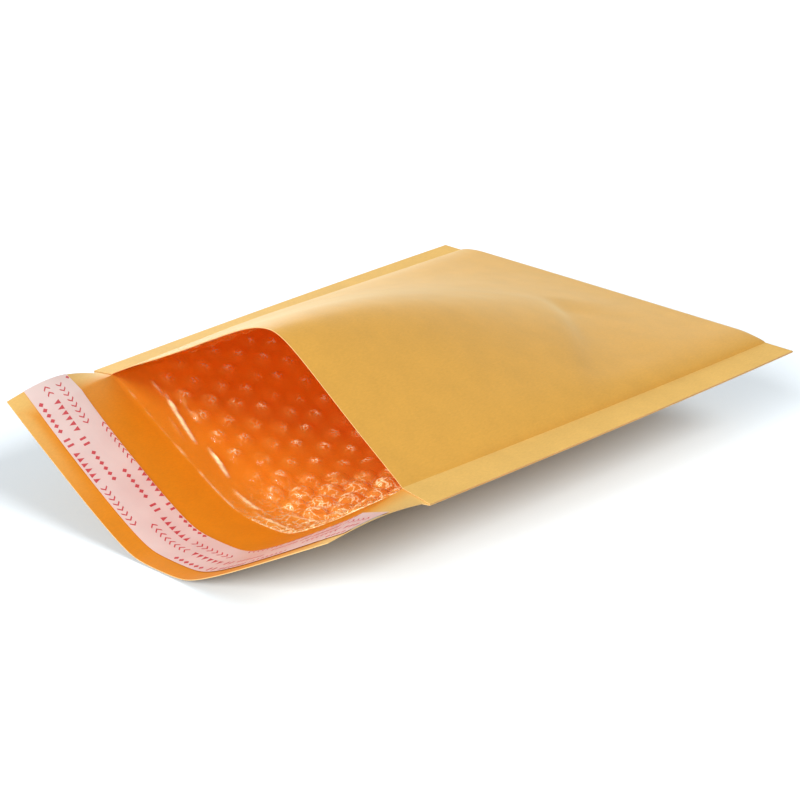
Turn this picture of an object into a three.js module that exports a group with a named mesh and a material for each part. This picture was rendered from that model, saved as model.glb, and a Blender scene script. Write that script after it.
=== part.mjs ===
// A padded kraft envelope that lies on its belly, with its mouth open and its flap laid out.
// Millimetres, +Z up. +X runs from the left side seam to the right one and +Y from the mouth to the
// closed end. The origin is under the middle of the whole length, on the surface it lies on.
import * as THREE from 'three';
import { mergeVertices } from 'three/addons/utils/BufferGeometryUtils.js';

// Flat sizes of the envelope
const bodyWidth = 184;
const bodyLength = 203;
const flapLength = 50;
const leftSeamWidth = 10.5;
const rightSeamWidth = 13;

// Layers, from the outside to the inside of the pocket
const paper = 0.5;
const gap = 0.3;
const film = 0.8;
const pocketSlack = 2.2;
const bubbleHeight = 3;
const bubblePitch = 12;

// How the open pocket stands: the front panel arches over the seams and the back panel hangs below
const archHeight = 41;
const archRidgeX = 10;
const archRound = 0.13;
const archFlare = 0.16;
const bellyDepth = 38;
const bellyRidgeX = 4.5;
const bellyRound = 0.15;
const bellyFlat = 1.3;
const bellyRun = 85;
const closedEndRound = 0.5;
const mouthPullIn = 4.3;
const seamDroop = 0.15;

// Round edges of the padding, next to the seams and at the closed end
const shoulder = 14;
const foldRadius = 4;

// The flap's free end: how far its corners are drawn in, and how high they stand above the seams
const tipInsetLeft = 14.6;
const tipInsetRight = 3.1;
const tipRiseLeft = 3.4;
const tipRiseRight = 1;
const flapSideBulge = 1.6;
const notchDepth = 2.5;
const notchLength = 1.5;

// The peel-off strip on the flap, and the glue that it covers
const linerWidth = 22.5;
const linerMargin = 8;
const linerThickness = 0.4;
const glueThickness = 0.4;
const glueInset = 3.5;

// The lining stops a little inside the mouth
const liningSetback = 1.5;

// Steps of the mesh
const halfColumns = 10;
const bodySteps = 13;

// Worked-out values
const closedEndY = (bodyLength + flapLength) / 2;
const seamZ = bellyDepth;
const liningInset = paper + gap;
const pocketInset = liningInset + film;
const flatHalf = pocketInset + pocketSlack;
const mouth = bodyLength;
const flapEnd = bodyLength + flapLength;
const footColumn = 1;
const ridgeColumn = footColumn + halfColumns;
const lastFootColumn = ridgeColumn + halfColumns;
const lastColumn = lastFootColumn + 1;

const clamp = (value) => Math.min(1, Math.max(0, value));
const mix = (from, to, share) => from + (to - from) * share;
const range = (from, to) => Array.from({ length: to - from + 1 }, (_, k) => from + k);

// Lines that run along the envelope, as x at a distance from the closed end
function lines(distance) {
  const share = clamp(distance / bodyLength);
  const edge = bodyWidth / 2 - mouthPullIn * share ** 2;
  const drift = Math.sin(share * Math.PI / 2);
  return {
    left: -edge,
    leftFoot: -edge + leftSeamWidth,
    rightFoot: edge - rightSeamWidth,
    right: edge,
    archRidge: archRidgeX * drift,
    bellyRidge: bellyRidgeX * drift,
  };
}

// A rounded tent between two feet: 0 at the feet and 1 at the ridge
function tent(x, leftFoot, ridge, rightFoot, round, flare) {
  const climb = x < ridge ? (x - leftFoot) / (ridge - leftFoot) : (rightFoot - x) / (rightFoot - ridge);
  const share = clamp(climb);
  const top = Math.hypot(1, round);
  const rise = (top - Math.hypot(1 - share, round)) / (top - round);
  return rise * (1 - flare * (1 - share) ** 2);
}

// A quarter round that climbs from 0 at an edge to 1 where it has run its reach
const quarterRound = (distance, reach) => Math.sqrt(1 - (1 - clamp(distance / reach)) ** 2);

// Half of the padding's thickness where both panels lie together, from the seam's plane outwards
function padding(x, distance, line) {
  const fromFoot = Math.min(x - line.leftFoot, line.rightFoot - x);
  return (flatHalf - paper) * quarterRound(fromFoot, shoulder) * quarterRound(distance, foldRadius);
}

// The outer faces' distance from the seam's plane, over the pocket
function archOver(x, distance) {
  const line = lines(distance);
  const share = clamp(distance / bodyLength);
  const round = mix(closedEndRound, archRound, share);
  const lift = (archHeight - flatHalf) * Math.sin(share * Math.PI / 2) ** 1.4;
  const shape = tent(x, line.leftFoot, line.archRidge, line.rightFoot, round, archFlare);
  return paper + padding(x, distance, line) + lift * shape;
}

function bellyUnder(x, distance) {
  const line = lines(distance);
  const share = clamp(distance / bodyLength);
  const round = mix(closedEndRound, bellyRound, share);
  const drop = (bellyDepth + bellyFlat - flatHalf) * Math.sin(clamp(distance / bellyRun) * Math.PI / 2);
  const shape = tent(x, line.leftFoot, line.bellyRidge, line.rightFoot, round, 0);
  return Math.min(bellyDepth, paper + padding(x, distance, line) + drop * shape);
}

// The side seams droop outwards towards the mouth
function seamBandZ(x, distance) {
  const line = lines(distance);
  const beyond = Math.max(0, line.leftFoot - x, x - line.rightFoot);
  return seamZ - beyond * seamDroop * clamp(distance / bodyLength);
}

// Columns across the envelope: seam edge, seam foot, the climb to the ridge, and the same again
function columnX(column, line, ridge) {
  if (column <= 0) return line.left;
  if (column >= lastColumn) return line.right;
  const step = (column - footColumn) % halfColumns;
  const share = (1 - Math.cos(Math.PI * step / halfColumns)) / 2;
  if (column < ridgeColumn) return mix(line.leftFoot, ridge, share);
  if (column < lastFootColumn) return mix(ridge, line.rightFoot, share);
  return line.rightFoot;
}

const inPocket = (column) => column >= footColumn && column <= lastFootColumn;
const point = (x, distance, z) => new THREE.Vector3(x, closedEndY - distance, z);

// A point of the front or back panel, moved in from its outer face
function frontPoint(column, distance, inset) {
  const line = lines(distance);
  const x = columnX(column, line, line.archRidge);
  const height = distance === 0 ? inset : inPocket(column) ? archOver(x, distance) : paper;
  return point(x, distance, seamBandZ(x, distance) + height - inset);
}

function backPoint(column, distance, inset) {
  const line = lines(distance);
  const x = columnX(column, line, line.bellyRidge);
  const height = distance === 0 ? inset : inPocket(column) ? bellyUnder(x, distance) : paper;
  return point(x, distance, seamBandZ(x, distance) - height + inset);
}

// The flap runs on from the back panel's section at the mouth to the section of its free end
function flapPoint(column, distance, inset) {
  if (distance <= mouth) return backPoint(column, distance, inset);
  const share = (distance - mouth) / flapLength;
  const start = backPoint(column, mouth, inset);
  const side = Math.sign(column - ridgeColumn);
  const outermost = column === 0 || column === lastColumn;
  const startX = start.x - (outermost ? side * notchDepth : 0);

  const line = lines(mouth);
  const tipLeft = -bodyWidth / 2 + tipInsetLeft;
  const tipRight = bodyWidth / 2 - tipInsetRight;
  const across = (columnX(column, line, line.bellyRidge) - line.left) / (line.right - line.left);
  const ridge = (line.bellyRidge - line.left) / (line.right - line.left);
  const tipRidge = line.bellyRidge;
  const endX = across < ridge ? mix(tipLeft, tipRidge, across / ridge)
    : mix(tipRidge, tipRight, (across - ridge) / (1 - ridge));
  const rise = mix(tipRiseLeft, tipRiseRight, across);
  const shape = tent(endX, tipLeft, tipRidge, tipRight, bellyRound, 0);
  const depth = Math.min(bellyDepth, paper - rise + (bellyDepth + bellyFlat + rise - paper) * shape);
  const bulge = flapSideBulge * Math.sin(Math.PI * share) * Math.abs(across * 2 - 1) ** 3;
  const ease = Math.sin(share * Math.PI / 2);
  const z = mix(start.z, seamZ - depth + inset, ease) + bulge;
  return point(mix(startX, endX, ease), distance, z);
}

// Rows along the envelope, as distances from the closed end
const foldRows = [0, 0.15, 0.5, 1].map((share) => share * foldRadius);
const liningEnd = mouth - liningSetback;
const bodyRows = range(1, bodySteps).map((k) => mix(foldRadius, liningEnd, k / bodySteps));
const frontRows = [...foldRows, ...bodyRows, mouth];
const liningRows = [foldRadius, ...bodyRows];
const linerRows = [
  flapEnd - linerMargin - linerWidth,
  flapEnd - linerMargin - linerWidth + glueInset,
  flapEnd - linerMargin - linerWidth / 2,
  flapEnd - linerMargin - glueInset,
  flapEnd - linerMargin,
];
const notchEnd = mouth + notchLength;
const flapRows = [notchEnd, mix(notchEnd, linerRows[0], 0.5), ...linerRows, flapEnd];
const backRows = [...frontRows, ...flapRows];

// A closed skin is collected as triangles, patch by patch
class Skin {
  positions = [];

  triangle(a, b, c) {
    for (const corner of [a, b, c]) this.positions.push(corner.x, corner.y, corner.z);
  }

  // Rows of points, seen from outside with the rows running down and the columns to the right
  patch(rows, turned = false, otherDiagonal = () => false) {
    for (let r = 0; r + 1 < rows.length; r += 1) {
      for (let c = 0; c + 1 < rows[r].length; c += 1) {
        const quad = [rows[r][c], rows[r + 1][c], rows[r + 1][c + 1], rows[r][c + 1]];
        if (turned) quad.reverse();
        if (otherDiagonal(r, c) !== turned) quad.push(quad.shift());
        this.triangle(quad[0], quad[1], quad[2]);
        this.triangle(quad[0], quad[2], quad[3]);
      }
    }
  }

  // A strip between two rows of unlike counts
  zip(upper, lower, turned = false) {
    let u = 0;
    let l = 0;
    while (u + 1 < upper.length || l + 1 < lower.length) {
      const stepUpper = l + 1 >= lower.length
        || (u + 1 < upper.length && (u + 1) / (upper.length - 1) <= (l + 1) / (lower.length - 1));
      const corners = stepUpper ? [upper[u], lower[l], upper[u + 1]] : [upper[u], lower[l], lower[l + 1]];
      if (turned) corners.reverse();
      this.triangle(...corners);
      if (stepUpper) u += 1;
      else l += 1;
    }
  }

  geometry() {
    const soup = new THREE.BufferGeometry();
    soup.setAttribute('position', new THREE.Float32BufferAttribute(this.positions, 3));
    const merged = mergeVertices(soup, 1e-3);
    const index = [...merged.index.array];
    const kept = [];
    for (let k = 0; k < index.length; k += 3) {
      const [a, b, c] = index.slice(k, k + 3);
      if (a !== b && b !== c && c !== a) kept.push(a, b, c);
    }
    merged.setIndex(kept);
    return merged;
  }
}

function mesh(name, skin, colour, roughness) {
  const material = new THREE.MeshStandardMaterial({ color: colour, roughness, metalness: 0 });
  const piece = new THREE.Mesh(skin.geometry(), material);
  piece.name = name;
  return piece;
}

// Kraft cover: one sheet folded at the closed end and glued at the sides, with the flap on its back
function kraftCover() {
  const all = range(0, lastColumn);
  const pocket = range(footColumn, lastFootColumn);
  const skin = new Skin();
  const rows = (distances, columns, place, inset) =>
    distances.map((distance) => columns.map((column) => place(column, distance, inset)));

  skin.patch(rows(frontRows, all, frontPoint, 0));
  skin.patch(rows(backRows, all, flapPoint, 0), true);

  // The pocket's faces meet in a line at the seams' feet and at the closed end
  const pocketRows = frontRows.slice(1);
  const pocketFace = (place) => pocketRows.map((distance, r) => pocket.map((column) => {
    const spot = place(column, distance, paper);
    if (r === 0) spot.z = seamZ;
    if (r === 0) spot.x = frontPoint(column, 0, 0).x;
    return spot;
  }));
  const ceiling = pocketFace(frontPoint);
  const ground = pocketFace(backPoint);
  skin.patch(ceiling, true);
  skin.patch(ground);

  // The flap's upper face starts on the pocket's ground and on the middle of the side seams
  const flapTop = rows([mouth, ...flapRows], all, flapPoint, paper);
  flapTop[0] = flapTop[0].map((spot, column) => (inPocket(column) ? ground.at(-1)[column - footColumn] : spot));
  skin.patch(flapTop);

  // Mouth edge of the front panel, over the pocket and over the seams
  const mouthEdge = all.map((column) => frontPoint(column, mouth, 0));
  const under = all.map((column) => (inPocket(column) ? ceiling.at(-1)[column - footColumn] : flapTop[0][column]));
  skin.patch([mouthEdge, under]);

  // Side edges of the seams, side edges of the flap, and its free end
  for (const [column, turned] of [[0, false], [lastColumn, true]]) {
    const edge = (distance) => [
      backPoint(column, distance, 0),
      backPoint(column, distance, paper),
      frontPoint(column, distance, 0),
    ];
    skin.patch(frontRows.map(edge), turned);
    const flapEdge = [mouth, ...flapRows].map((distance) => [
      flapPoint(column, distance, 0),
      flapPoint(column, distance, paper),
    ]);
    skin.patch(flapEdge, turned);
  }
  skin.patch([flapTop.at(-1), all.map((column) => flapPoint(column, flapEnd, 0))]);
  return mesh('kraft_cover', skin, 0xdea855, 0.75);
}

// Bubble lining: one folded film that carries rows of air bubbles on the pocket's side
function bubbleLining() {
  const skin = new Skin();
  const columns = range(footColumn + 1, lastFootColumn - 1);
  const outside = (place) =>
    liningRows.map((distance) => columns.map((column) => place(column, distance, liningInset)));
  const outerFront = outside(frontPoint);
  const outerBack = outside(backPoint);

  // The lattice of the bubbles, with two steps from one bubble to the next
  const start = foldRadius + film;
  const rowCount = 2 * Math.round((liningEnd - start) / (bubblePitch * Math.sqrt(3) / 2));
  const columnCount = 2 * Math.round((bodyWidth - leftSeamWidth - rightSeamWidth) / bubblePitch);
  const isBubble = (r, c) => r % 2 === 1 && (c + (r - 1) / 2) % 2 === 1
    && c > 0 && c < columnCount && r < rowCount;
  const betweenBubbles = (r, c) => r % 2 === 1 && !isBubble(r, c) && c > 0 && c < columnCount;
  const neighbourLift = 0.3;

  const inside = (place, reach) => range(0, rowCount).map((r) => {
    const distance = mix(start, liningEnd, r / rowCount);
    const line = lines(distance);
    const firstX = place(columns[0], distance, 0).x + film;
    const lastX = place(columns.at(-1), distance, 0).x - film;
    return range(0, columnCount).map((c) => {
      const x = mix(firstX, lastX, c / columnCount);
      const room = reach(x, distance, line) - pocketInset;
      const bubble = Math.min(bubbleHeight, 0.8 * room);
      const lift = isBubble(r, c) ? 1 : betweenBubbles(r, c) ? neighbourLift : 0;
      const z = seamZ + (place === frontPoint ? 1 : -1) * (room - bubble * lift);
      return point(x, distance, z);
    });
  });
  const innerFront = inside(frontPoint, archOver);
  const innerBack = inside(backPoint, bellyUnder);
  const towardsBubble = (r, c) => isBubble(r, c + 1) || isBubble(r + 1, c);

  skin.patch(outerFront);
  skin.patch(outerBack, true);
  skin.patch(innerFront, true, towardsBubble);
  skin.patch(innerBack, false, towardsBubble);

  // Closed end and sides, outside and inside
  const column = (rows, k) => rows.map((row) => row.at(k));
  skin.patch([outerBack[0], outerFront[0]]);
  skin.patch([innerBack[0], innerFront[0]], true);
  const wall = (upper, lower, turned) => skin.patch(upper.map((spot, k) => [lower[k], spot]), turned);
  wall(column(outerFront, 0), column(outerBack, 0), false);
  wall(column(outerFront, -1), column(outerBack, -1), true);
  wall(column(innerFront, 0), column(innerBack, 0), true);
  wall(column(innerFront, -1), column(innerBack, -1), false);

  // Cut edge at the mouth
  const [upper, lower] = [outerFront.at(-1), outerBack.at(-1)];
  const [ceiling, ground] = [innerFront.at(-1), innerBack.at(-1)];
  skin.zip(upper, ceiling);
  skin.zip(lower, ground, true);
  skin.patch([[upper[0], ceiling[0]], [lower[0], ground[0]]]);
  skin.patch([[ceiling.at(-1), upper.at(-1)], [ground.at(-1), lower.at(-1)]]);
  return mesh('bubble_lining', skin, 0xe8722a, 0.25);
}

// A thin band that lies on the flap, from side edge to side edge
function band(name, rows, lift, thickness, colour, roughness) {
  const all = range(0, lastColumn);
  const skin = new Skin();
  const face = (raise) => rows.map((distance) =>
    all.map((column) => flapPoint(column, distance, paper + raise)));
  const top = face(lift + thickness);
  const bottom = face(lift);
  skin.patch(top);
  skin.patch(bottom, true);
  skin.patch(top.map((row, r) => [bottom[r][0], row[0]]));
  skin.patch(top.map((row, r) => [bottom[r].at(-1), row.at(-1)]), true);
  skin.patch([bottom[0], top[0]]);
  skin.patch([top.at(-1), bottom.at(-1)]);
  return mesh(name, skin, colour, roughness);
}

const group = new THREE.Group();
group.add(kraftCover());
group.add(bubbleLining());
group.add(band('adhesive_band', linerRows.slice(1, -1), gap, glueThickness, 0xf1e2b0, 0.3));
group.add(band('release_liner', linerRows, gap + glueThickness + gap, linerThickness, 0xf0d8d6, 0.35));

export default group;
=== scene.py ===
"""Looks of a padded kraft envelope that lies open on its belly, with its flap laid out.

Sizes are in millimetres until a mesh is made. +X runs from the left side seam to the right one,
+Y from the mouth to the closed end, and +Z up from the table.
"""
import math

import bpy
import numpy as np
from mathutils import Matrix, Vector


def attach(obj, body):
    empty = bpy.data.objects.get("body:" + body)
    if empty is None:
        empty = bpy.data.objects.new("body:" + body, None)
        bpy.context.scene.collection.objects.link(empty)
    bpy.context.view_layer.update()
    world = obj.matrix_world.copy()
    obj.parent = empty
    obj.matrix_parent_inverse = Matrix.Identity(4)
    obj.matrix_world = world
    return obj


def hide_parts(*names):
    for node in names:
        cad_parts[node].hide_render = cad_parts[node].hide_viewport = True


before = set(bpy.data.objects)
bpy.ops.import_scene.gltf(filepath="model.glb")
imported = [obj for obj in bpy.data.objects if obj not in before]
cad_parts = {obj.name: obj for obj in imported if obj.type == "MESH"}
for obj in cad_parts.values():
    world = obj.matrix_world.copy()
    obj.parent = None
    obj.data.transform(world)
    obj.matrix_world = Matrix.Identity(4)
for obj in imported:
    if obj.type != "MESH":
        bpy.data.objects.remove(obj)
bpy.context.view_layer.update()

MM = 0.001

# Flat sizes of the envelope
BODY_WIDTH = 184
BODY_LENGTH = 203
FLAP_LENGTH = 50
LEFT_SEAM = 10.5
RIGHT_SEAM = 13

# How the open pocket stands
ARCH_HEIGHT = 41
ARCH_RIDGE_X = 10
ARCH_ROUND = 0.13
ARCH_FLARE = 0.16
BELLY_DEPTH = 38
BELLY_RIDGE_X = 4.5
BELLY_ROUND = 0.2
BELLY_SOFT = 2.2
BELLY_FLAT = 2.4
BELLY_RUN = 85
CLOSED_END_ROUND = 0.5
MOUTH_PULL_IN = 4.3
SEAM_DROOP = 0.15
PADDING_HALF = 3.3
MOUTH_FLATTENS_FROM = 120
MOUTH_PADDING_SHARE = 0.25
SHOULDER = 14
FOLD_RADIUS = 4

# The flap's free end
TIP_INSET_LEFT = 14.6
TIP_INSET_RIGHT = 3.1
TIP_RISE_LEFT = 3.4
TIP_RISE_RIGHT = 1
FLAP_BULGE_LEFT = 3.4
FLAP_BULGE_RIGHT = 1.6
NOTCH_DEPTH = 2.5
NOTCH_LENGTH = 1.5

# Thin layers
PAPER = 0.3
BAND_HALF = 0.36
FILM_GAP = 0.12
FILM = 0.12
FILM_SETBACK = 1.5
GLUE_LIFT = 0.05
GLUE = 0.12
LINER_LIFT = 0.3
LINER = 0.08
LINER_WIDTH = 22.5
LINER_MARGIN = 8
GLUE_INSET = 3.5

# Folds of the film beside its cut edge on the back panel, as (start and end of the length from the
# lowest line, first and last distance from the edge, height, white of the crease and painted highlight)
MOUTH_FOLDS = (
    (-84, -74, 12.6, 11.8, 0.5, 0.8),
    (-77, -49, 13.4, 8.6, 0.7, 1.6),
    (-47, -30, 12.2, 9.2, 0.7, 1.4),
    (-70, -58, 17.5, 16.0, 0.7, 0.4),
    (-66, -52, 7.0, 5.0, 0.5, 0.3),
    (-26, -8, 6.5, 7.5, 0.6, 0.6),
    (-12, 14, 4.5, 3.5, 0.6, 0.5),
    (-6, 24, 12.0, 15.0, 0.5, 0.45),
    (10, 44, 7.0, 9.0, 0.7, 0.5),
    (4, 40, 22.0, 26.0, 0.5, 0.4),
    (24, 60, 11.0, 14.0, 0.6, 0.5),
)
FOLD_WIDTH = 1.4
FOLD_GLINT_WIDTH = 0.85
FOLD_WANDER = 0.8

# Air bubbles of the film, with whitish creases on their crowns that are partly painted highlights
BUBBLE_PITCH = 11
BUBBLE_RADIUS = 4.8
BUBBLE_HEIGHT = 2.5
BUBBLE_MARGIN = 18
SMALLEST_BUBBLE = 0.6
CROWN_GLINT_WIDTH = 1.7
CROWN_GLINT_SHIFT = 2

# Crumpled film at the mouth: how far in each effect is full, and over what length it fades. The film's
# gloss and the bubbles' haze fade deep in the pocket as painted shade; the cut edge's white is a
# painted highlight
CRUMPLE_HEIGHTS = (0.35, 0.3)
CRUMPLE_REACH = 30
CRUMPLE_FADE = 30
MOUTH_LIGHT_REACH = 20
MOUTH_LIGHT_FADE = 45
HAZE_REACH = 16
HAZE_REACH_RIGHT = 46
HAZE_FADE = 30
BUBBLE_HAZE = 0.24
EDGE_GLINT_WHITE = 0.5

# Waves of the paper, and the soft buckle of the front panel, whose ends are given as
# (x, distance from the closed end)
FRONT_WAVE = 0.7
BACK_WAVE = 0.6
FINE_WAVE = 0.16
FLAP_WAVE = 0.5
CALM_AT_SEAM = 16
CALM_AT_END = 18
CALM_AT_BELLY = 24
BUCKLE_START = (2, 40)
BUCKLE_END = (80, 104)
BUCKLE_DEPTH = 1.9
BUCKLE_STEEP = 6
BUCKLE_GENTLE = 20
BUCKLE_BEND = 5
BUCKLE_SWELL = 0.5

# Marks on the strip
MARK_ROWS = 4
MARK_HEIGHT = 3.0
MARK_WIDTH = 1.95
MARK_PITCH = 2.62
STROKE = 0.7
ROW_PITCH = 6.4
ROW_SHIFT = 23
RUN_PITCH = 85
RUN_START = 7
INK = 0.03
INK_GAP = 0.01

# Colours
KRAFT = (0.765, 0.4, 0.059)
# The seams' paler colour is partly their own pressed tone and partly painted light on their flat faces;
# on the flap's inside edges it is a painted sheen
KRAFT_PALE_SEAM_PAINTED_LIGHT = (0.85, 0.53, 0.15)
KRAFT_INSIDE = (0.925, 0.315, 0.003)
# The flap's inside is the same paper as the pocket's inside, painted darker as painted shade
KRAFT_FLAP_PAINTED_SHADE = (0.8, 0.28, 0.002)
KRAFT_EDGE = (0.86, 0.56, 0.22)
EDGE_SHEEN_FADE = 6
FLAP_SHADE_REACH = 24
FLAP_SHADE_FADE = 18
FILM_HAZE = (1.0, 0.58, 0.11)
# White of the film's creases, partly their own whitening and partly painted highlights
FILM_CREASE_AND_GLINT_WHITE = (1.0, 0.88, 0.5)
FLOOR_COLOUR = (0.48, 0.52, 0.55)
FLOOR_BOUNCE = 0.35
SKY_SHARE = 0.5

# Camera
CAMERA_AZIMUTH = 43.4
CAMERA_ELEVATION = 21.9
CAMERA_ROLL = 0.5
CAMERA_DISTANCE = 963.7
CAMERA_TARGET = (18.1, -18.2, 38)
CAMERA_LENS = 117
CAMERA_SENSOR = 36

# Lamps that light the object but not the floor, as (name, direction, distance and diameter in
# metres, share of full white), and the one that lights only the film
SOFTBOXES = (
    ("softbox", (0.12, -0.55, 0.8), 1.6, 0.8, 0.29),
    ("left_softbox", (-0.82, 0.42, 0.36), 1.6, 0.7, 0.13),
    ("front_softbox", (0.25, -0.95, 0.18), 1.6, 0.6, 0.08),
    ("small_lamp", (0.1, -0.7, 0.66), 1.5, 0.12, 0.05),
)
FILM_LAMP = ("film_lamp", (-0.05, -0.85, 0.5), 1.6, 0.3, 0.32)

# Suns that light only the floor, as (name, direction, softness in degrees, share of full white)
FLOOR_SUNS = (
    ("floor_front_sun", (0.26, -0.86, 0.44), 30, 1.0),
    ("floor_right_sun", (0.77, 0.05, 0.635), 30, 0.9),
)

# Fineness of the meshes: columns of the bands and of each side of the ridge, and row steps. The
# film ends a little inside the seams, by a share of the way from a seam to the ridge.
FILM_SEAM_SETBACK = 0.015
LEFT_BAND_COLUMNS = 8
RIGHT_BAND_COLUMNS = 10
PAPER_LEFT_COLUMNS = 58
PAPER_RIGHT_COLUMNS = 54
FILM_LEFT_COLUMNS = 104
FILM_RIGHT_COLUMNS = 72
BODY_ROW = 1.55
FLAP_ROW = 1.25
FRONT_FILM_ROW = 2.8
FILM_START = 1.4
DEEP_FILM_END = 95
DEEP_FILM_ROW = 2.6
MIDDLE_FILM_END = 172
MIDDLE_FILM_ROW = 1.05
NEAR_FILM_ROW = 0.62

# Worked-out values
CLOSED_END_Y = (BODY_LENGTH + FLAP_LENGTH) / 2
SEAM_Z = BELLY_DEPTH
MOUTH = BODY_LENGTH
FLAP_END = BODY_LENGTH + FLAP_LENGTH
STRIP_END = FLAP_END - LINER_MARGIN
STRIP_START = STRIP_END - LINER_WIDTH

# Places of a sheet's materials
OUTER, INNER, RIM, BAND = range(4)


def clamp(value):
    return np.clip(value, 0.0, 1.0)


def mix(start, end, share):
    return start + (end - start) * share


def smooth(value):
    share = clamp(value)
    return share * share * (3 - 2 * share)


def bell(value, width):
    return np.exp(-((value / width) ** 2))


def soft_cap(value, limit, softness):
    """The smaller of a value and a limit, with a round passage between them."""
    below = limit - value
    return limit - (below + np.sqrt(below**2 + softness**2)) / 2


class Noise:
    """Smooth value noise of two coordinates, from 0 to 1."""

    size = 97

    def __init__(self, seed):
        self.table = np.random.default_rng(seed).random((self.size, self.size))

    def cell(self, a, b):
        return self.table[np.mod(a, self.size), np.mod(b, self.size)]

    def __call__(self, a, b):
        a, b = np.broadcast_arrays(a, b)
        low_a = np.floor(a).astype(int)
        low_b = np.floor(b).astype(int)
        share_a = smooth(a - low_a)
        share_b = smooth(b - low_b)
        near = mix(self.cell(low_a, low_b), self.cell(low_a + 1, low_b), share_a)
        far = mix(self.cell(low_a, low_b + 1), self.cell(low_a + 1, low_b + 1), share_a)
        return mix(near, far, share_b)

    def ridges(self, a, b):
        """Thin raised lines where the noise crosses its middle."""
        return clamp(1 - np.abs(self(a, b) * 2 - 1) * 5)


# Form of the envelope

def lines(distance):
    """Lines that run along the envelope, as x at a distance from the closed end."""
    share = clamp(distance / BODY_LENGTH)
    edge = BODY_WIDTH / 2 - MOUTH_PULL_IN * share**2
    drift = np.sin(share * np.pi / 2)
    return {
        "left": -edge,
        "left_foot": -edge + LEFT_SEAM,
        "right_foot": edge - RIGHT_SEAM,
        "right": edge,
        "arch_ridge": ARCH_RIDGE_X * drift,
        "belly_ridge": BELLY_RIDGE_X * drift,
    }


def tent(x, left_foot, ridge, right_foot, roundness, flare):
    """A rounded tent between two feet: 0 at the feet and 1 at the ridge."""
    left_climb = (x - left_foot) / (ridge - left_foot)
    right_climb = (right_foot - x) / (right_foot - ridge)
    share = clamp(np.where(x < ridge, left_climb, right_climb))
    top = np.hypot(1, roundness)
    rise = (top - np.hypot(1 - share, roundness)) / (top - roundness)
    return rise * (1 - flare * (1 - share) ** 2)


def quarter_round(distance, reach):
    return np.sqrt(1 - (1 - clamp(distance / reach)) ** 2)


def padding_half(distance):
    """Half of the padding's thickness, which is drawn flat where the mouth stands open."""
    open_share = smooth((distance - MOUTH_FLATTENS_FROM) / (BODY_LENGTH - MOUTH_FLATTENS_FROM))
    return PADDING_HALF * mix(1, MOUTH_PADDING_SHARE, open_share)


def padding(x, distance, line):
    from_foot = np.minimum(x - line["left_foot"], line["right_foot"] - x)
    rise = quarter_round(from_foot, SHOULDER) * quarter_round(distance, FOLD_RADIUS)
    return padding_half(distance) * rise


def band_half(distance):
    """Half of the seam's thickness, which closes at the fold of the closed end."""
    return BAND_HALF * quarter_round(distance, BAND_HALF)


def pocket_window(x, distance, line):
    """1 over the pocket, falling to 0 at the seams and at the closed end."""
    from_foot = np.minimum(x - line["left_foot"], line["right_foot"] - x)
    return smooth(from_foot / CALM_AT_SEAM) * smooth(distance / CALM_AT_END)


cockle = Noise(3)
ripple = Noise(11)


def buckle(x, distance):
    run = np.hypot(BUCKLE_END[0] - BUCKLE_START[0], BUCKLE_END[1] - BUCKLE_START[1])
    along_x = (BUCKLE_END[0] - BUCKLE_START[0]) / run
    along_d = (BUCKLE_END[1] - BUCKLE_START[1]) / run
    from_x = x - BUCKLE_START[0]
    from_d = distance - BUCKLE_START[1]
    along = (from_x * along_x + from_d * along_d) / run
    towards_mouth = from_d * along_x - from_x * along_d
    bend = BUCKLE_BEND * np.sin(np.pi * clamp(along))
    off_line = towards_mouth + bend
    width = np.where(off_line > 0, BUCKLE_STEEP, BUCKLE_GENTLE)
    strength = smooth(along / 0.2) * (1 - smooth((along - 0.35) / 0.8))
    valley = -BUCKLE_DEPTH * bell(off_line, width)
    swell = BUCKLE_SWELL * bell(off_line - 15, 12)
    return strength * (valley + swell)


def front_detail(x, distance, line):
    waves = FRONT_WAVE * (cockle(x / 34 + 7, distance / 52) - 0.5)
    fine = FINE_WAVE * (ripple(x / 9, distance / 14) - 0.5)
    return (waves + fine + buckle(x, distance)) * pocket_window(x, distance, line)


def back_detail(x, distance, line):
    calm = smooth(np.abs(x - line["belly_ridge"]) / CALM_AT_BELLY)
    waves = BACK_WAVE * (cockle(x / 31, distance / 47 + 9) - 0.5)
    fine = FINE_WAVE * (ripple(x / 9 + 31, distance / 14) - 0.5)
    return (waves + fine) * pocket_window(x, distance, line) * calm


def seam_band_z(x, distance, line):
    beyond = np.maximum(0, np.maximum(line["left_foot"] - x, x - line["right_foot"]))
    return SEAM_Z - beyond * SEAM_DROOP * clamp(distance / BODY_LENGTH)


def arch_over(x, distance):
    line = lines(distance)
    share = clamp(distance / BODY_LENGTH)
    roundness = mix(CLOSED_END_ROUND, ARCH_ROUND, share)
    lift = (ARCH_HEIGHT - padding_half(distance) - BAND_HALF) * np.sin(share * np.pi / 2) ** 1.4
    shape = tent(x, line["left_foot"], line["arch_ridge"], line["right_foot"], roundness, ARCH_FLARE)
    height = band_half(distance) + padding(x, distance, line) + lift * shape
    return height + front_detail(x, distance, line)


def belly_under(x, distance):
    line = lines(distance)
    share = clamp(distance / BODY_LENGTH)
    roundness = mix(CLOSED_END_ROUND, BELLY_ROUND, share)
    run = np.sin(clamp(distance / BELLY_RUN) * np.pi / 2)
    drop = (BELLY_DEPTH + BELLY_FLAT - padding_half(distance) - BAND_HALF) * run
    shape = tent(x, line["left_foot"], line["belly_ridge"], line["right_foot"], roundness, 0)
    height = band_half(distance) + padding(x, distance, line) + drop * shape
    return soft_cap(height + back_detail(x, distance, line), BELLY_DEPTH, BELLY_SOFT * share)


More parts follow.
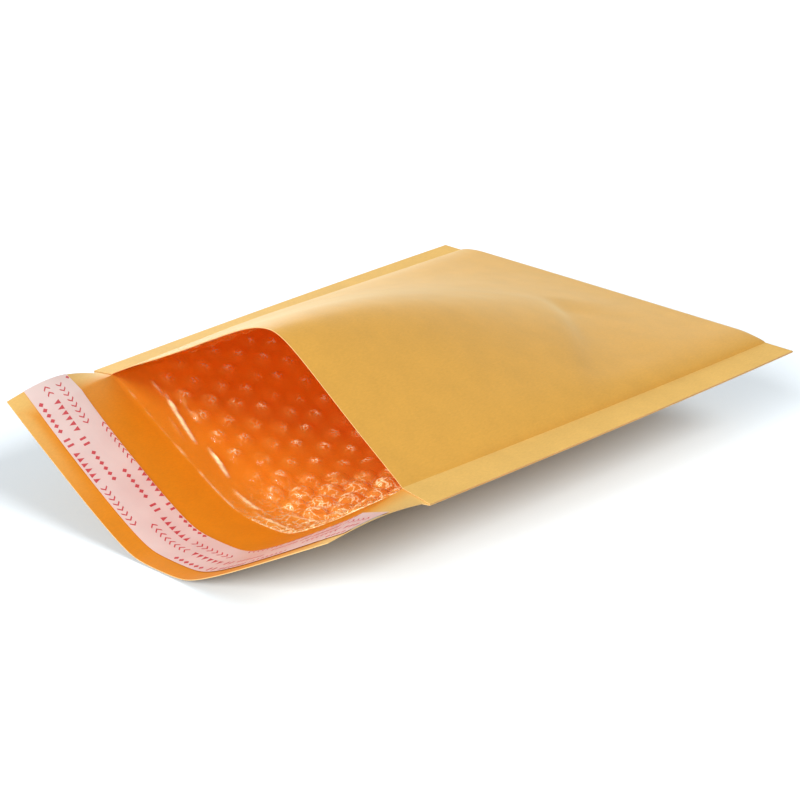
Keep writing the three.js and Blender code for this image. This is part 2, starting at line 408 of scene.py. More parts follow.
def column_x(column, line, ridge):
    """x of a column: 0 at the left edge, 1 at its foot, 2 at the ridge, 3 and 4 on the right."""
    in_left_band = mix(line["left"], line["left_foot"], column)
    left_climb = mix(line["left_foot"], ridge, column - 1)
    right_climb = mix(ridge, line["right_foot"], column - 2)
    in_right_band = mix(line["right_foot"], line["right"], column - 3)
    x = np.where(column < 1, in_left_band, left_climb)
    x = np.where(column > 2, right_climb, x)
    return np.where(column > 3, in_right_band, x)


def place(x, distance, z):
    x, distance, z = np.broadcast_arrays(x, distance, z)
    return np.stack([x, CLOSED_END_Y - distance, z], axis=-1)


def front_point(column, distance):
    line = lines(distance)
    x = column_x(column, line, line["arch_ridge"])
    return place(x, distance, seam_band_z(x, distance, line) + arch_over(x, distance))


def back_point(column, distance):
    line = lines(distance)
    x = column_x(column, line, line["belly_ridge"])
    return place(x, distance, seam_band_z(x, distance, line) - belly_under(x, distance))


def flap_point(column, distance):
    """The flap runs on from the back panel's section at the mouth to that of its free end."""
    share = clamp((distance - MOUTH) / FLAP_LENGTH)
    column, share = np.broadcast_arrays(column, share)
    start = back_point(column, np.full(column.shape, float(MOUTH)))
    side = np.sign(column - 2)
    in_band = clamp(np.abs(column - 2) - 1)
    notch = NOTCH_DEPTH * in_band * smooth((distance - MOUTH) / NOTCH_LENGTH)
    start_x = start[..., 0] - side * notch

    line = lines(np.float64(MOUTH))
    tip_left = -BODY_WIDTH / 2 + TIP_INSET_LEFT
    tip_right = BODY_WIDTH / 2 - TIP_INSET_RIGHT
    width = line["right"] - line["left"]
    across = (column_x(column, line, line["belly_ridge"]) - line["left"]) / width
    ridge = (line["belly_ridge"] - line["left"]) / width
    left_part = mix(tip_left, line["belly_ridge"], across / ridge)
    right_part = mix(line["belly_ridge"], tip_right, (across - ridge) / (1 - ridge))
    end_x = np.where(across < ridge, left_part, right_part)
    rise = mix(TIP_RISE_LEFT, TIP_RISE_RIGHT, across)
    shape = tent(end_x, tip_left, line["belly_ridge"], tip_right, BELLY_ROUND, 0)
    depth = BAND_HALF - rise + (BELLY_DEPTH + BELLY_FLAT + rise - BAND_HALF) * shape
    depth = soft_cap(depth, BELLY_DEPTH, BELLY_SOFT)

    bulge_height = np.where(side < 0, FLAP_BULGE_LEFT, FLAP_BULGE_RIGHT)
    bulge = bulge_height * np.sin(np.pi * share) * np.abs(across * 2 - 1) ** 3
    wave = FLAP_WAVE * (cockle(across * 7 + 3, share * 1.4 + 5) - 0.5)
    wave = wave * np.sin(np.pi * share) * (1 - shape)
    ease = np.sin(share * np.pi / 2)
    z = mix(start[..., 2], SEAM_Z - depth, ease) + bulge + wave
    return place(mix(start_x, end_x, ease), distance, z)


# Mesh building

def grid_normals(points):
    """Normals of a grid whose columns run to the right and whose rows run towards the closed end
    on the front, and away from it on the back."""
    across = np.gradient(points, axis=1)
    along = np.gradient(points, axis=0)
    normal = np.cross(across, along)
    return normal / np.maximum(np.linalg.norm(normal, axis=-1, keepdims=True), 1e-9)


def slab(outer, inner):
    """Closed body between two grids, with a rim round their border."""
    rows, columns = outer.shape[:2]
    count = rows * columns
    index = np.arange(count).reshape(rows, columns)
    corners = [index[:-1, :-1], index[:-1, 1:], index[1:, 1:], index[1:, :-1]]
    faces = np.stack(corners, axis=-1).reshape(-1, 4)
    border = np.concatenate([index[0, :-1], index[:-1, -1], index[-1, :0:-1], index[:0:-1, 0]])
    following = np.roll(border, -1)
    rim = np.stack([following, border, border + count, following + count], axis=-1)
    points = np.concatenate([outer.reshape(-1, 3), inner.reshape(-1, 3)])
    slots = np.repeat([OUTER, INNER, RIM], [len(faces), len(faces), len(rim)])
    return points, np.concatenate([faces, faces[:, ::-1] + count, rim]), slots


def add_piece(name, points, faces, materials, slots=None, sharp=40):
    """Makes an object of faces that all have as many corners."""
    mesh = bpy.data.meshes.new(name)
    corners = faces.shape[1]
    mesh.vertices.add(len(points))
    mesh.vertices.foreach_set("co", (points * MM).astype(np.float32).ravel())
    mesh.loops.add(faces.size)
    mesh.loops.foreach_set("vertex_index", faces.astype(np.int32).ravel())
    mesh.polygons.add(len(faces))
    mesh.polygons.foreach_set("loop_start", np.arange(0, faces.size, corners, dtype=np.int32))
    mesh.update(calc_edges=True)
    if slots is not None:
        mesh.polygons.foreach_set("material_index", slots.astype(np.int32))
    for material in materials:
        mesh.materials.append(material)
    mesh.validate()
    mesh.shade_smooth()
    mesh.set_sharp_from_angle(angle=math.radians(sharp))
    piece = bpy.data.objects.new(name, mesh)
    bpy.context.scene.collection.objects.link(piece)
    return piece


def store_shares(piece, name, shares):
    """Keeps a share for each point of a slab's grid, on both of its sides."""
    layer = piece.data.attributes.new(name, "FLOAT", "POINT")
    layer.data.foreach_set("value", np.tile(shares.ravel(), 2).astype(np.float32))


def steps(start, end, step):
    count = max(1, round(abs(end - start) / step))
    return np.linspace(start, end, count + 1)


# Materials

class Nodes:
    """Short calls for a material's nodes."""

    def __init__(self, name):
        self.material = bpy.data.materials.new(name)
        self.material.use_nodes = True
        self.tree = self.material.node_tree
        self.shader = self.tree.nodes["Principled BSDF"]
        self.place = self.add("ShaderNodeTexCoord").outputs["Object"]

    def add(self, kind, **settings):
        node = self.tree.nodes.new(kind)
        for key, value in settings.items():
            setattr(node, key, value)
        return node

    def link(self, source, target):
        self.tree.links.new(source, target)

    def set(self, **values):
        for key, value in values.items():
            self.shader.inputs[key.replace("_", " ")].default_value = value

    def stretched(self, scale):
        node = self.add("ShaderNodeMapping")
        node.inputs["Scale"].default_value = scale
        self.link(self.place, node.inputs["Vector"])
        return node.outputs["Vector"]

    def noise(self, size, detail=3.0, roughness=0.5, stretch=(1, 1, 1)):
        """Noise whose features are about that many millimetres across."""
        node = self.add("ShaderNodeTexNoise")
        node.inputs["Scale"].default_value = 1 / (size * MM)
        node.inputs["Detail"].default_value = detail
        node.inputs["Roughness"].default_value = roughness
        self.link(self.stretched(stretch), node.inputs["Vector"])
        return node.outputs["Fac"]

    def lines(self, size, width, detail=1):
        """Thin soft lines where a noise crosses its middle: 1 on a line and 0 beside it."""
        waves = self.noise(size, detail=detail, roughness=0.55)
        black, white = (0, 0, 0), (1, 1, 1)
        return self.ramp(waves, (0.5 - width, black), (0.5, white), (0.5 + width, black))

    def attribute(self, name):
        """A value that each point of the mesh holds."""
        return self.add("ShaderNodeAttribute", attribute_name=name).outputs["Fac"]

    def ramp(self, source, *stops):
        node = self.add("ShaderNodeValToRGB")
        ramp = node.color_ramp
        while len(ramp.elements) < len(stops):
            ramp.elements.new(0.5)
        for element, (position, colour) in zip(ramp.elements, stops):
            element.position = position
            element.color = (*colour, 1)
        self.link(source, node.inputs["Fac"])
        return node.outputs["Color"]

    def scale(self, source, low, high):
        node = self.add("ShaderNodeMapRange")
        node.inputs["To Min"].default_value = low
        node.inputs["To Max"].default_value = high
        self.link(source, node.inputs["Value"])
        return node.outputs["Result"]

    def sum(self, *sources):
        total = sources[0]
        for source in sources[1:]:
            node = self.add("ShaderNodeMath", operation="ADD")
            self.link(total, node.inputs[0])
            self.link(source, node.inputs[1])
            total = node.outputs[0]
        return total

    def product(self, source, factor):
        """A value times a number or another value."""
        node = self.add("ShaderNodeMath", operation="MULTIPLY")
        self.link(source, node.inputs[0])
        if isinstance(factor, (int, float)):
            node.inputs[1].default_value = factor
        else:
            self.link(factor, node.inputs[1])
        return node.outputs[0]

    def mixed(self, first, second, share):
        """The first colour, passing into the second one by a share."""
        node = self.add("ShaderNodeMix", data_type="RGBA")
        self.link(share, node.inputs["Factor"])
        self.link(first, node.inputs["A"])
        self.link(second, node.inputs["B"])
        return node.outputs["Result"]

    def times(self, first, second):
        node = self.add("ShaderNodeMix", data_type="RGBA", blend_type="MULTIPLY")
        node.inputs["Factor"].default_value = 1
        self.link(first, node.inputs["A"])
        self.link(second, node.inputs["B"])
        return node.outputs["Result"]

    def bump(self, height, depth, target="Normal"):
        """Bumps of a depth in millimetres."""
        node = self.add("ShaderNodeBump")
        node.inputs["Distance"].default_value = depth * MM
        self.link(height, node.inputs["Height"])
        self.link(node.outputs["Normal"], self.shader.inputs[target])

    def colour(self, source):
        self.link(source, self.shader.inputs["Base Color"])


def scaled(colour, factor):
    return tuple(channel * factor for channel in colour)


def paper_material(name, colour, roughness, specular=0.5, sheen=0.0, blends=()):
    """Kraft paper with clouds and fibres. Its colour passes into each blend's colour by the share
    that the mesh's attribute of that name holds."""
    nodes = Nodes(name)
    cloud = nodes.noise(11, detail=4)
    fibre = nodes.noise(0.55, detail=5, roughness=0.65, stretch=(1, 0.35, 1))

    def clouded(base):
        return nodes.ramp(cloud, (0.3, scaled(base, 0.955)), (0.7, scaled(base, 1.03)))

    blotch = clouded(colour)
    for attribute, blend_colour in blends:
        blotch = nodes.mixed(blotch, clouded(blend_colour), nodes.attribute(attribute))
    grain = nodes.ramp(fibre, (0.3, (0.93, 0.925, 0.9)), (0.7, (1.03, 1.03, 1.04)))
    nodes.colour(nodes.times(blotch, grain))
    nodes.link(nodes.scale(fibre, roughness - 0.06, roughness + 0.06), nodes.shader.inputs["Roughness"])
    nodes.set(Specular_IOR_Level=specular, Sheen_Weight=sheen)
    nodes.set(Sheen_Roughness=0.36, Sheen_Tint=(1, 1, 0.64, 1))
    nodes.bump(nodes.sum(fibre, cloud), 0.05)
    return nodes.material


def film_material():
    """Clear film: a faint haze, whitish creases and folds that are partly painted highlights, and a
    hard gloss.
    """
    nodes = Nodes("bubble_film")
    cloud = nodes.noise(9, detail=4)
    haze = nodes.product(nodes.attribute("haze"), nodes.scale(cloud, 0.0, 1.0))
    # Whites of the crowns, wisps and folds: partly the film's crease whitening, partly painted
    # highlights
    strokes = nodes.product(nodes.lines(1.7, 0.085), nodes.attribute("crown_glints"))
    wisps = nodes.product(nodes.lines(4.5, 0.04, detail=3), nodes.attribute("haze"))
    broken = nodes.scale(nodes.noise(2.6, detail=4, roughness=0.65), 0.0, 1.9)
    fold_glints = nodes.product(nodes.attribute("fold"), broken)
    white = nodes.sum(strokes, nodes.product(wisps, 0.75), fold_glints)
    nodes.colour(nodes.ramp(white, (0.05, FILM_HAZE), (0.45, FILM_CREASE_AND_GLINT_WHITE)))
    opaque = nodes.sum(nodes.product(haze, 0.66), nodes.product(white, 0.95))
    nodes.link(nodes.scale(opaque, 0.03, 1.0), nodes.shader.inputs["Alpha"])
    nodes.set(Roughness=0.4, Coat_IOR=2.7, Coat_Roughness=0.05)
    # The coat's gloss fades deep in the pocket, as painted shade
    mouth_light = nodes.scale(nodes.attribute("mouth_light"), 0.1, 1.0)
    nodes.link(mouth_light, nodes.shader.inputs["Coat Weight"])
    wrinkles = nodes.sum(nodes.noise(1.5, detail=2, roughness=0.6), nodes.product(cloud, 0.8))
    nodes.bump(wrinkles, 0.1)
    nodes.bump(wrinkles, 0.35, "Coat Normal")
    return nodes.material


def film_back_material():
    """The side of the film that lies against the paper, which scatters next to nothing."""
    nodes = Nodes("bubble_film_back")
    haze = nodes.noise(11, detail=3)
    nodes.colour(nodes.ramp(haze, (0.3, (1.0, 0.5, 0.2)), (0.7, (1.0, 0.6, 0.3))))
    nodes.set(Alpha=0.02, Roughness=0.4)
    return nodes.material


def liner_material():
    nodes = Nodes("strip_film")
    cloud = nodes.noise(14, detail=3)
    nodes.colour(nodes.ramp(cloud, (0.3, (0.81, 0.62, 0.585)), (0.7, (0.87, 0.71, 0.665))))
    nodes.set(Roughness=0.36)
    nodes.bump(nodes.noise(3, detail=3, stretch=(1, 0.2, 1)), 0.12)
    return nodes.material


def print_material():
    nodes = Nodes("red_print")
    wear = nodes.noise(0.6, detail=3)
    nodes.colour(nodes.ramp(wear, (0.3, (0.56, 0.045, 0.06)), (0.7, (0.66, 0.10, 0.11))))
    nodes.set(Roughness=0.5)
    return nodes.material


def glue_material():
    nodes = Nodes("glue")
    lumps = nodes.noise(4, detail=3)
    nodes.colour(nodes.ramp(lumps, (0.3, (0.84, 0.74, 0.46)), (0.7, (0.9, 0.82, 0.58))))
    nodes.set(Roughness=0.3)
    nodes.bump(lumps, 0.2)
    return nodes.material


kraft_outside = paper_material("kraft_outside", KRAFT, 0.52, specular=0.35, sheen=0.42)
# The seam bands are painted paler, partly in their own pressed tone and partly as painted light
kraft_seam = paper_material("kraft_seam", KRAFT_PALE_SEAM_PAINTED_LIGHT, 0.55, specular=0.05)
# On the inside, the flap is painted darker than the pocket as painted shade, and its edges are painted
# paler as painted sheen
flap_shade_and_edge_sheen = (("flap", KRAFT_FLAP_PAINTED_SHADE), ("flap_edge_sheen", KRAFT_PALE_SEAM_PAINTED_LIGHT))
kraft_inside = paper_material("kraft_inside", KRAFT_INSIDE, 0.6, blends=flap_shade_and_edge_sheen)
kraft_edge = paper_material("kraft_edge", KRAFT_EDGE, 0.7)


# Kraft cover: one sheet from the front panel's mouth edge, round the closed end, to the flap's end

def eased_columns(start, end, count):
    """Columns that lie closer at both ends."""
    share = np.linspace(0, 1, count + 1)
    return mix(start, end, mix(share, (1 - np.cos(np.pi * share)) / 2, 0.5))


def cover_columns():
    return np.concatenate([
        np.linspace(0, 1, LEFT_BAND_COLUMNS + 1)[:-1],
        eased_columns(1, 2, PAPER_LEFT_COLUMNS)[:-1],
        eased_columns(2, 3, PAPER_RIGHT_COLUMNS)[:-1],
        np.linspace(3, 4, RIGHT_BAND_COLUMNS + 1),
    ])


def cover_grid():
    columns = cover_columns()[None, :]
    near_fold = np.array([0.05, 0.15, 0.35, 0.7, 1.2, 1.9, 2.8, 4.0])
    body = np.concatenate([near_fold, steps(5.4, MOUTH, BODY_ROW)])
    front = front_point(columns, body[::-1, None])
    fold = front_point(columns, np.array([[0.0]]))
    back = back_point(columns, body[:, None])
    notch = np.array([0.4, 0.8, NOTCH_LENGTH])
    flap_rows = MOUTH + np.concatenate([notch, steps(NOTCH_LENGTH + 1.2, FLAP_LENGTH, FLAP_ROW)])
    flap = flap_point(columns, flap_rows[:, None])
    return np.concatenate([front, fold, back, flap])


def past_fold(outer):
    """True for the rows of the back panel and the flap."""
    return np.arange(len(outer)) > np.argmax(outer[:, 0, 1])


def flap_edge_sheen_shares(outer):
    """How far the inside of the flap is painted paler along its sides and at the corners of its end, a
    painted sheen in the seams' colour, for each point.
    """
    columns = cover_columns()
    from_side = np.minimum(columns, 4 - columns)
    at_side = (1 - smooth((from_side - 0.3) / 0.95))[None, :]
    at_corner = (1 - smooth((from_side - 0.9) / 0.7))[None, :]
    distance = CLOSED_END_Y - outer[..., 1]
    on_flap = smooth((distance - MOUTH + EDGE_SHEEN_FADE) / EDGE_SHEEN_FADE)
    at_end = smooth((distance - FLAP_END + LINER_MARGIN) / EDGE_SHEEN_FADE)
    return past_fold(outer)[:, None] * on_flap * np.maximum(at_side, 0.75 * at_end * at_corner)


def flap_shade_shares(outer):
    """How far the inside has the flap's painted shade, a darker tone of the same paper, which passes
    into the pocket's lighter tone at the mouth.
    """
    distance = CLOSED_END_Y - outer[..., 1]
    share = smooth((distance - MOUTH + FLAP_SHADE_REACH) / FLAP_SHADE_FADE)
    return past_fold(outer)[:, None] * share


def make_cover():
    outer = cover_grid()
    inner = outer - grid_normals(outer) * PAPER
    points, faces, slots = slab(outer, inner)
    columns = cover_columns()
    middles = (columns[1:] + columns[:-1]) / 2
    outer_faces = (len(outer) - 1) * len(middles)
    in_band = np.zeros(len(faces), dtype=bool)
    in_band[:outer_faces] = np.tile(np.abs(middles - 2) > 1, len(outer) - 1)
    slots[(slots == OUTER) & in_band] = BAND
    papers = [kraft_outside, kraft_inside, kraft_edge, kraft_seam]
    piece = add_piece("kraft_sheet", points, faces, papers, slots)
    # Painted sheen: the flap's inside edges are painted paler
    store_shares(piece, "flap_edge_sheen", flap_edge_sheen_shares(outer))
    store_shares(piece, "flap", flap_shade_shares(outer))
    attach(piece, "root")
    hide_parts("kraft_cover")
    return piece


# Bubble film

bubble_sizes = Noise(21)
crinkle = Noise(29)
fold_noise = Noise(37)


def bubbles(across, along):
    """Height share of the bubbles and the whitish creases on their crowns, which are partly painted
    highlights, on a lattice in which each row is set off by half a pitch."""
    row_pitch = BUBBLE_PITCH * math.sqrt(3) / 2
    height = np.zeros(np.broadcast(across, along).shape)
    crown_glints = np.zeros(height.shape)
    for neighbour in (0, 1):
        row = np.floor(along / row_pitch).astype(int) + neighbour
        offset = np.mod(row, 2) * 0.5
        column = np.round(across / BUBBLE_PITCH - offset).astype(int)
        from_x = across - (column + offset) * BUBBLE_PITCH
        from_y = along - row * row_pitch
        reach = np.hypot(from_x, from_y) / BUBBLE_RADIUS
        size = mix(SMALLEST_BUBBLE, 1.0, bubble_sizes.cell(row * 7, column * 5))
        height = np.maximum(height, clamp(1 - reach**2.6) ** 0.8 * size)
        # Painted highlight: a whitish crease on each crown, partly the film's own
        glint_pick = bubble_sizes.cell(row * 3 + 1, column * 11 + 4)
        aside = np.hypot(from_x + mix(-CROWN_GLINT_SHIFT, CROWN_GLINT_SHIFT, glint_pick), from_y - 0.8)
        crown_glints = np.maximum(crown_glints, bell(aside, CROWN_GLINT_WIDTH) * mix(0.3, 1.6, glint_pick))
    return height, crown_glints


def film_relief(across, distance, side):
    """Height of the film over the paper, with the shares of its crowns' and folds' whites, which are
    partly painted highlights, its haze, and its gloss, which fades deep in the pocket as painted shade.
    """
    from_mouth = MOUTH - FILM_SETBACK - distance
    domes, crown_glints = bubbles(across, distance)
    inside = smooth((from_mouth - BUBBLE_MARGIN + BUBBLE_RADIUS) / 4)
    domes = domes * inside
    relief = BUBBLE_HEIGHT * domes
    near_mouth = 1 - smooth((from_mouth - CRUMPLE_REACH) / CRUMPLE_FADE)
    crumpled = fold_noise.ridges(across / 13 + 5, distance / 5.2) * CRUMPLE_HEIGHTS[0]
    crumpled = crumpled + fold_noise.ridges(across / 7 + 41, distance / 3.6 + 13) * CRUMPLE_HEIGHTS[1]
    relief = relief + near_mouth * crumpled * (1 - 0.6 * domes)
    fold = cut_edge_glint(across, from_mouth)
    # Painted shade: the gloss and the bubbles' haze fade deep into the pocket
    mouth_light = np.broadcast_to(1 - smooth((from_mouth - MOUTH_LIGHT_REACH) / MOUTH_LIGHT_FADE), relief.shape)
    haze = BUBBLE_HAZE * domes * mix(0.3, 1.0, mouth_light)
    if side < 0:
        raised, white = mouth_folds(across, from_mouth)
        relief = relief + raised
        fold = np.maximum(fold, white)
        haze = np.maximum(haze, mouth_haze(across, from_mouth))
    return relief, {"crown_glints": crown_glints * inside, "fold": fold, "haze": haze, "mouth_light": mouth_light}


def cut_edge_glint(across, from_mouth):
    """Painted highlight along the film's cut edge, broken off in places."""
    glint_gaps = smooth((crinkle(across / 5 + 3, 0.5) - 0.25) / 0.3)
    return EDGE_GLINT_WHITE * glint_gaps * bell(from_mouth - 0.3, 0.6)


def mouth_haze(across, from_mouth):
    """Haze of the crumpled film at the mouth, which is thickest right of the belly's lowest line."""
    to_right = smooth((across + 38) / 60)
    reach = HAZE_REACH + HAZE_REACH_RIGHT * to_right
    return to_right * (1 - smooth((from_mouth - reach) / HAZE_FADE))


def mouth_folds(across, from_mouth):
    """Height and white of the long folds that run beside the film's cut edge, the white being partly
    crease whitening and partly a painted highlight.
    """
    raised = np.zeros(np.broadcast(across, from_mouth).shape)
    white = np.zeros(raised.shape)
    for start, end, first, last, height, glint_whiteness in MOUTH_FOLDS:
        share = clamp((across - start) / (end - start))
        centre = mix(first, last, share) + FOLD_WANDER * (crinkle(across / 16, first) - 0.5)
        swell = np.sin(np.pi * share) ** 0.7
        raised = raised + height * swell * bell(from_mouth - centre, FOLD_WIDTH)
        white = np.maximum(white, glint_whiteness * swell * bell(from_mouth - centre, FOLD_GLINT_WIDTH))
    return raised, white


def film_side(columns, distances, side):
    """The paper under one side of the film, the film's height over it and its shares."""
    outer = (front_point if side > 0 else back_point)(columns, distances)
    middle = np.argmin(np.abs(columns[0] - 2))
    lengths = np.linalg.norm(np.diff(outer, axis=1), axis=-1)
    across = np.concatenate([np.zeros((len(outer), 1)), np.cumsum(lengths, axis=1)], axis=1)
    across = across - across[:, middle:middle + 1]
    relief, shares = film_relief(across, distances, side)
    return outer, relief, shares


def make_lining():
    left = eased_columns(1 + FILM_SEAM_SETBACK, 2, FILM_LEFT_COLUMNS)
    right = eased_columns(2, 3 - FILM_SEAM_SETBACK, FILM_RIGHT_COLUMNS)
    columns = np.concatenate([left[:-1], right])[None, :]
    end = MOUTH - FILM_SETBACK
    front_rows = steps(end, FILM_START, FRONT_FILM_ROW)
    deep = steps(FILM_START, DEEP_FILM_END, DEEP_FILM_ROW)
    middle = steps(DEEP_FILM_END, MIDDLE_FILM_END, MIDDLE_FILM_ROW)
    near = steps(MIDDLE_FILM_END, end, NEAR_FILM_ROW)
    back_rows = np.concatenate([deep[:-1], middle[:-1], near])
    front, front_relief, front_shares = film_side(columns, front_rows[:, None], 1)
    back, back_relief, back_shares = film_side(columns, back_rows[:, None], -1)
    paper_face = np.concatenate([front, back])
    relief = np.concatenate([front_relief, back_relief])
    normals = grid_normals(paper_face)
    room = np.abs(paper_face[..., 2] - SEAM_Z)
    relief = np.minimum(relief, 0.6 * np.maximum(0, room - 1))[..., None]
    outer = paper_face - normals * (PAPER + FILM_GAP)
    inner = paper_face - normals * (PAPER + FILM_GAP + FILM + relief)
    points, faces, slots = slab(outer, inner)
    slots[slots == RIM] = INNER
    films = [film_back_material(), film_material()]
    piece = add_piece("bubble_film_lining", points, faces, films, slots, sharp=60)
    for name in front_shares:
        store_shares(piece, name, np.concatenate([front_shares[name], back_shares[name]]))
    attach(piece, "root")
    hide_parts("bubble_lining")
    return piece


# Glue and peel-off strip on the flap

def flap_band(name, first, last, lift, thickness, material, step):
    columns = cover_columns()[None, :]
    rows = steps(first, last, step)[:, None]
    outer = flap_point(columns, rows)
    normals = grid_normals(outer)
    under = outer - normals * (PAPER + lift)
    over = outer - normals * (PAPER + lift + thickness)
    points, faces, _ = slab(under, over)
    return add_piece(name, points, faces, [material])


def make_glue():
    first = STRIP_START + GLUE_INSET
    last = STRIP_END - GLUE_INSET
    piece = flap_band("glue_band", first, last, GLUE_LIFT, GLUE, glue_material(), 2)
    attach(piece, "root")
    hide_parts("adhesive_band")
    return piece


def make_strip():
    strip = liner_material()
    piece = flap_band("peel_off_strip", STRIP_START, STRIP_END, LINER_LIFT, LINER, strip, 1)
    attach(piece, "root")
    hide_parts("release_liner")
    return piece


# Rows of plain marks on the strip: diamonds, bars, triangles and arrows

def bar():
    left = (MARK_WIDTH - STROKE * 1.4) / 2
    right = left + STROKE * 1.4
    return [[(left, 0), (right, 0), (right, MARK_HEIGHT), (left, MARK_HEIGHT)]]


def arrow():
    tip = MARK_WIDTH - STROKE
    half = MARK_HEIGHT / 2
    lower = [(0, 0), (STROKE, 0), (tip + STROKE, half), (tip, half)]
    upper = [(tip, half), (tip + STROKE, half), (STROKE, MARK_HEIGHT), (0, MARK_HEIGHT)]
    return [lower, upper]


def triangle():
    half = MARK_WIDTH / 2
    return [[(0, 0), (half, 0), (half, MARK_HEIGHT), (half, MARK_HEIGHT * 0.98)],
            [(half, 0), (MARK_WIDTH, 0), (half + 0.02, MARK_HEIGHT * 0.98), (half, MARK_HEIGHT)]]


def diamond():
    """A solid diamond, as two halves."""
    half = MARK_WIDTH / 2
    low, middle, high = 0.1 * MARK_HEIGHT, MARK_HEIGHT / 2, 0.9 * MARK_HEIGHT
    left = [(0, middle), (half, low), (half, middle), (half, high)]
    right = [(half, low), (2 * half, middle), (half, high), (half, middle)]
    return [left, right]


MARK_GROUPS = ((diamond, 6), (bar, 2), (triangle, 6), (arrow, 8))


def marks_of_run():
    """Quads of one run of marks, from 0 along the row and from 0 up."""
    quads = []
    along = 0
    for shape, count in MARK_GROUPS:
        for _ in range(count):
            quads += [[(x + along, y) for x, y in quad] for quad in shape()]
            along += MARK_PITCH
        along += MARK_PITCH * 0.7
    return np.array(quads), along


def on_strip(across, distance, lift):
    """Points of the flap by their length across it from the left edge, and their distance."""
    columns = np.linspace(0, 4, 400)[None, :]
    middle = STRIP_END - LINER_WIDTH / 2
    profile = flap_point(columns, np.array([[float(middle)]]))[0]
    lengths = np.concatenate([[0], np.cumsum(np.linalg.norm(np.diff(profile, axis=0), axis=1))])
    column = np.interp(across, lengths, columns[0])
    step = 0.3
    here = flap_point(column, distance)
    to_right = flap_point(np.minimum(column + 0.01, 4), distance) - flap_point(column - 0.01, distance)
    to_end = flap_point(column, distance + step) - flap_point(column, distance - step)
    normal = np.cross(to_right, to_end)
    normal /= np.linalg.norm(normal, axis=-1, keepdims=True)
    return here - normal * lift, lengths[-1]


def make_marks():
    run, run_length = marks_of_run()
    lift = PAPER + LINER_LIFT + LINER
    _, width = on_strip(np.array([0.0]), np.array([float(STRIP_END - 5)]), lift)
    quads = []
    for row in range(MARK_ROWS):
        base = STRIP_END - 1.0 - row * ROW_PITCH
        turned = row % 2 == 1
        first = RUN_START - row * ROW_SHIFT
        for repeat in range(-1, 5):
            start = first + repeat * RUN_PITCH
            x = start + (run_length - run[..., 0] if turned else run[..., 0])
            distance = base - (MARK_HEIGHT - run[..., 1] if turned else run[..., 1])
            quads.append(np.stack([x, distance], axis=-1))
    quads = np.concatenate(quads)
    inside = (quads[..., 0].min(axis=1) > 1) & (quads[..., 0].max(axis=1) < width - 1)
    quads = quads[inside & (quads[..., 1].max(axis=1) > STRIP_START + 0.6)]
    quads[..., 1] = np.maximum(quads[..., 1], STRIP_START + 0.15)
    low, _ = on_strip(quads[..., 0].ravel(), quads[..., 1].ravel(), lift + INK_GAP)
    high, _ = on_strip(quads[..., 0].ravel(), quads[..., 1].ravel(), lift + INK_GAP + INK)
    count = len(low)
    top = np.arange(count).reshape(-1, 4) + count
    following = np.roll(top, -1, axis=1)
    faces = [top, top[:, ::-1] - count]
    for k in range(4):
        side = [top[:, k] - count, following[:, k] - count, following[:, k], top[:, k]]
        faces.append(np.stack(side, axis=-1))
    points = np.concatenate([low, high])
    piece = add_piece("red_marks", points, np.concatenate(faces), [print_material()])
    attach(piece, "root")
    return piece


make_cover()
lining = make_lining()
make_glue()
make_strip()
make_marks()


# Floor, light and camera

def floor_material():
    """White, and weaker where it only lights the object from below."""
    material = bpy.data.materials.new("floor")
    material.use_nodes = True
    tree = material.node_tree
    shader = tree.nodes["Principled BSDF"]
    shader.inputs["Roughness"].default_value = 0.9
    shader.inputs["Specular IOR Level"].default_value = 0
    path = tree.nodes.new("ShaderNodeLightPath")
    colour = tree.nodes.new("ShaderNodeMix")
    colour.data_type = "RGBA"
    colour.inputs["A"].default_value = (*FLOOR_COLOUR, 1)
    colour.inputs["B"].default_value = (FLOOR_BOUNCE, FLOOR_BOUNCE, FLOOR_BOUNCE, 1)
    tree.links.new(path.outputs["Is Diffuse Ray"], colour.inputs["Factor"])
    tree.links.new(colour.outputs["Result"], shader.inputs["Base Color"])
    return material


def make_floor():
    half = 3.0
    below = -0.0002
    mesh = bpy.data.meshes.new("floor")
    corners = [(-half, -half, below), (half, -half, below), (half, half, below), (-half, half, below)]
    mesh.from_pydata(corners, [], [(0, 1, 2, 3)])
    mesh.materials.append(floor_material())
    floor = bpy.data.objects.new("floor", mesh)
    bpy.context.scene.collection.objects.link(floor)
    return floor


def make_world():
    """An even white sky: full white to the eye, weaker as a light."""
    world = bpy.data.worlds.new("studio")
    bpy.context.scene.world = world
    world.use_nodes = True
    tree = world.node_tree
    background = tree.nodes["Background"]
    background.inputs["Color"].default_value = (1, 1, 1, 1)
    path = tree.nodes.new("ShaderNodeLightPath")
    seen = path.outputs["Is Camera Ray"]
    for ray in ("Is Glossy Ray", "Is Transmission Ray"):
        either = tree.nodes.new("ShaderNodeMath")
        either.operation = "MAXIMUM"
        tree.links.new(seen, either.inputs[0])
        tree.links.new(path.outputs[ray], either.inputs[1])
        seen = either.outputs[0]
    strength = tree.nodes.new("ShaderNodeMapRange")
    strength.inputs["To Min"].default_value = SKY_SHARE
    strength.inputs["To Max"].default_value = 1.0
    tree.links.new(seen, strength.inputs["Value"])
    tree.links.new(strength.outputs["Result"], background.inputs["Strength"])


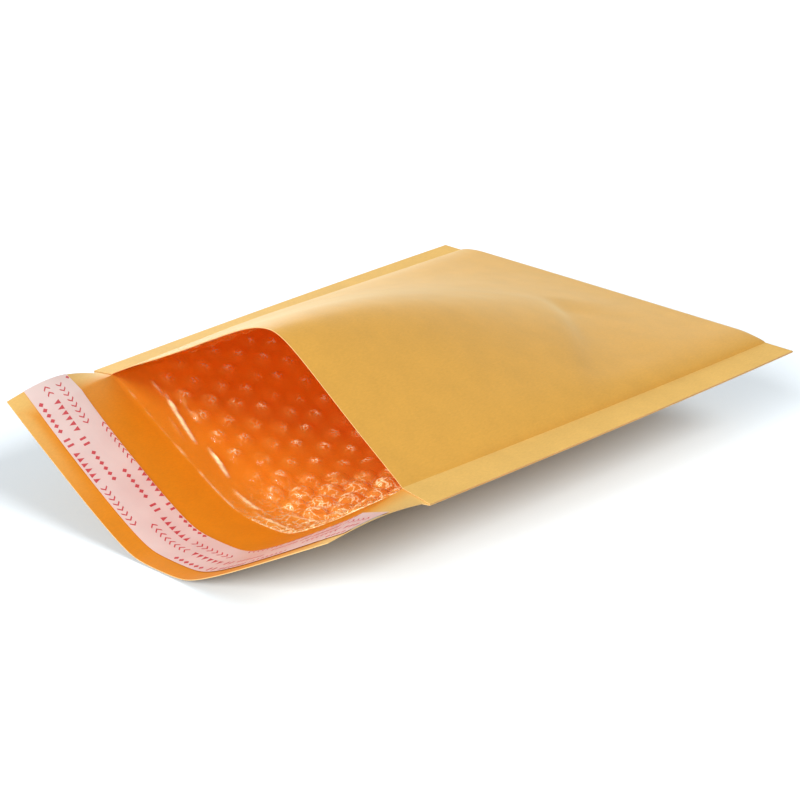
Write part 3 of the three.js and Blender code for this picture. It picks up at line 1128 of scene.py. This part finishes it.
def add_lamp(name, direction, distance, size, share, lit=None, unlit=None):
    """A round softbox that gives a level white surface that share of full white. It lights only
    the object lit, or all but the object unlit, where one is given."""
    towards = Vector(direction).normalized()
    lamp = bpy.data.lights.new(name, "AREA")
    lamp.shape = "DISK"
    lamp.size = size
    lamp.energy = share * math.pi * math.pi * distance**2 / towards.z
    lamp_object = bpy.data.objects.new(name, lamp)
    lamp_object.location = towards * distance
    lamp_object.rotation_mode = "QUATERNION"
    lamp_object.rotation_quaternion = towards.to_track_quat("Z", "Y")
    bpy.context.scene.collection.objects.link(lamp_object)
    if lit or unlit:
        group = bpy.data.collections.new(name + "_targets")
        group.objects.link(lit or unlit)
        group.collection_objects[0].light_linking.link_state = "INCLUDE" if lit else "EXCLUDE"
        lamp_object.light_linking.receiver_collection = group
    return lamp_object


def add_sun(name, direction, softness, share, lit):
    """A wide soft sun that lights only one object."""
    towards = Vector(direction).normalized()
    lamp = bpy.data.lights.new(name, "SUN")
    lamp.angle = math.radians(softness)
    lamp.energy = share * math.pi / towards.z
    lamp_object = bpy.data.objects.new(name, lamp)
    lamp_object.location = towards * 2
    lamp_object.rotation_mode = "QUATERNION"
    lamp_object.rotation_quaternion = towards.to_track_quat("Z", "Y")
    bpy.context.scene.collection.objects.link(lamp_object)
    group = bpy.data.collections.new(name + "_targets")
    group.objects.link(lit)
    lamp_object.light_linking.receiver_collection = group
    return lamp_object


def make_camera():
    azimuth = math.radians(CAMERA_AZIMUTH)
    elevation = math.radians(CAMERA_ELEVATION)
    roll = math.radians(CAMERA_ROLL)
    level = math.cos(elevation)
    back = Vector((math.sin(azimuth) * level, -math.cos(azimuth) * level, math.sin(elevation)))
    right = Vector((math.cos(azimuth), math.sin(azimuth), 0))
    up = back.cross(right)
    rolled_right = right * math.cos(roll) + up * math.sin(roll)
    rolled_up = up * math.cos(roll) - right * math.sin(roll)
    turn = Matrix((rolled_right, rolled_up, back)).transposed().to_4x4()
    turn.translation = (Vector(CAMERA_TARGET) + back * CAMERA_DISTANCE) * MM
    data = bpy.data.cameras.new("camera")
    data.sensor_width = CAMERA_SENSOR
    data.lens = CAMERA_LENS
    data.clip_start = 0.05
    data.clip_end = 20
    camera = bpy.data.objects.new("camera", data)
    camera.matrix_world = turn
    bpy.context.scene.collection.objects.link(camera)
    bpy.context.scene.camera = camera


floor = make_floor()
make_world()
for softbox in SOFTBOXES:
    add_lamp(*softbox, unlit=floor)
add_lamp(*FILM_LAMP, lit=lining)
for sun in FLOOR_SUNS:
    add_sun(*sun, lit=floor)
make_camera()
bpy.context.scene.view_settings.view_transform = "Standard"
bpy.context.scene.cycles.max_bounces = 24
bpy.context.scene.cycles.diffuse_bounces = 16
bpy.context.scene.cycles.transparent_max_bounces = 160
